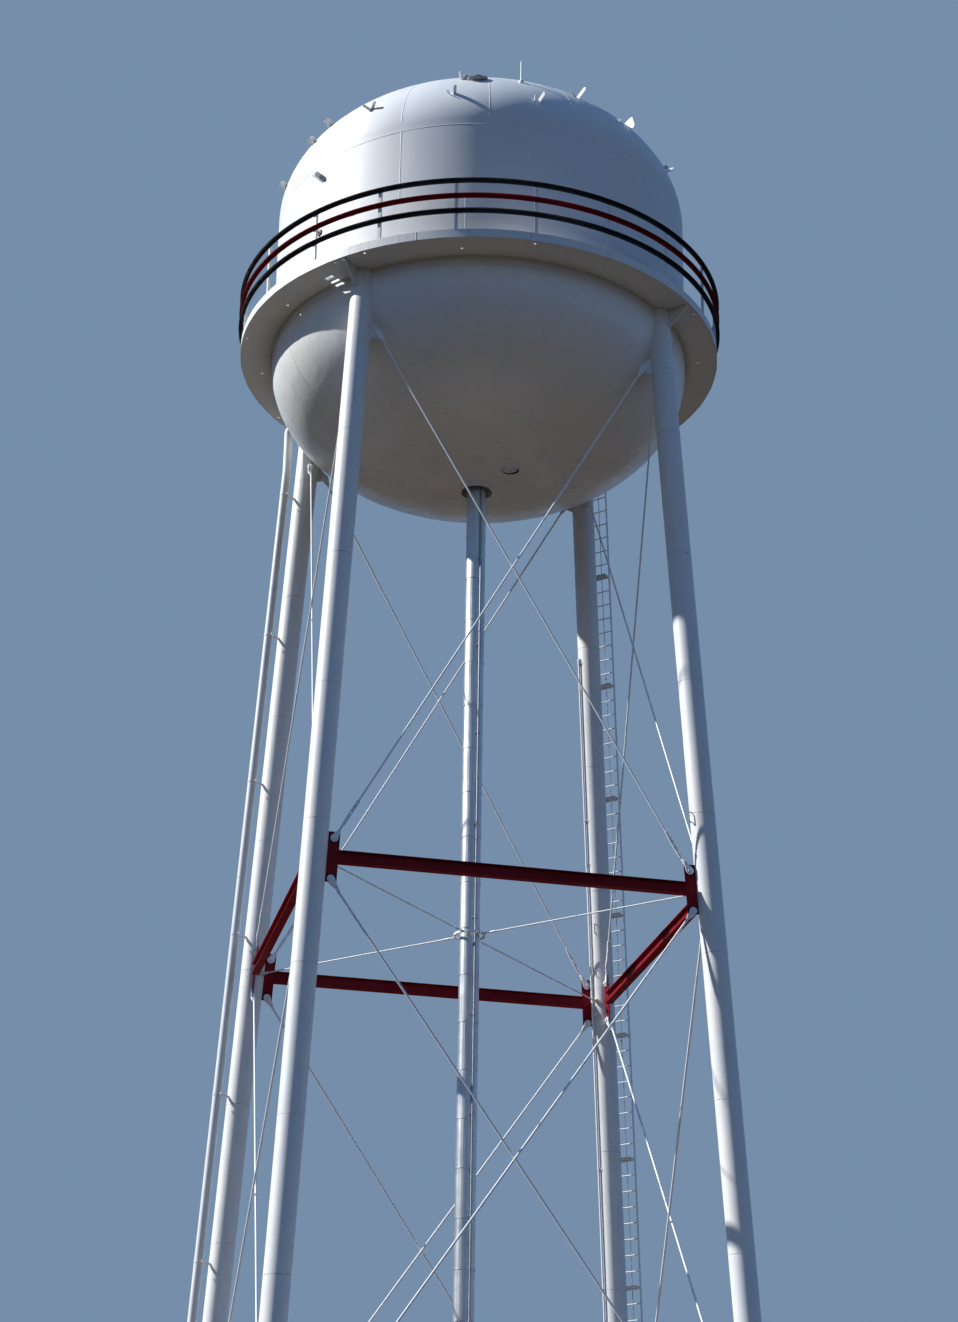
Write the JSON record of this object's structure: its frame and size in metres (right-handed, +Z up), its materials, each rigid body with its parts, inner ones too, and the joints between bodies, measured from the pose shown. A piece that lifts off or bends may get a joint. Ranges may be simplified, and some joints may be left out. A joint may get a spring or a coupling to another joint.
{
  "type": "elevated water tower",
  "caption": "Elevated steel water tank on battered pipe columns with struts, crossed tie rods, a central riser, a railed balcony and a ladder.",
  "frame": {"origin": "on the ground, on the tower's vertical axis, at the middle of the riser's base", "axes": "+Z up, -Y out of the front face, +X out of the right face"},
  "size_m": [10.2816, 9.76, 39.0003],
  "materials": {
    "white_paint": "weathered semi-gloss",
    "red_paint": "satin",
    "black_paint": "satin",
    "jacket_metal": "weathered sheet"
  },
  "bodies": {
    "root": {"tank_roof": "white_paint", "tank_shell": "white_paint", "tank_bottom": "white_paint", "roof_hatch": "black_paint", "whip_antenna": "white_paint", "balcony_floor": "white_paint", "balcony_edge": "white_paint", "rail_top": "black_paint", "rail_middle": "red_paint", "rail_lower": "black_paint", "column_front_left": "white_paint", "column_front_right": "white_paint", "column_back_right": "white_paint", "column_back_left": "white_paint", "strut_lower_front": "red_paint", "strut_upper_front": "red_paint", "strut_lower_right": "red_paint", "strut_upper_right": "red_paint", "strut_lower_back": "red_paint", "strut_upper_back": "red_paint", "strut_lower_left": "red_paint", "strut_upper_left": "red_paint", "brace_bottom_front_a": "white_paint", "brace_bottom_front_b": "white_paint", "brace_middle_front_a": "white_paint", "brace_middle_front_b": "white_paint", "brace_top_front_a": "white_paint", "brace_top_front_b": "white_paint", "brace_bottom_right_a": "white_paint", "brace_bottom_right_b": "white_paint", "brace_middle_right_a": "white_paint", "brace_middle_right_b": "white_paint", "brace_top_right_a": "white_paint", "brace_top_right_b": "white_paint", "brace_bottom_back_a": "white_paint", "brace_bottom_back_b": "white_paint", "brace_middle_back_a": "white_paint", "brace_middle_back_b": "white_paint", "brace_top_back_a": "white_paint", "brace_top_back_b": "white_paint", "brace_bottom_left_a": "white_paint", "brace_bottom_left_b": "white_paint", "brace_middle_left_a": "white_paint", "brace_middle_left_b": "white_paint", "brace_top_left_a": "white_paint", "brace_top_left_b": "white_paint", "riser_pipe": "jacket_metal", "riser_collar": "white_paint", "riser_conduit": "jacket_metal", "riser_ring_upper": "white_paint", "riser_tie_upper_front_right": "white_paint", "riser_tie_upper_back_left": "white_paint", "riser_ring_lower": "white_paint", "riser_tie_lower_front_right": "white_paint", "riser_tie_lower_back_left": "white_paint", "ladder": "white_paint", "overflow_pipe": "white_paint", "column_conduit": "white_paint"}
  },
  "joints": []
}
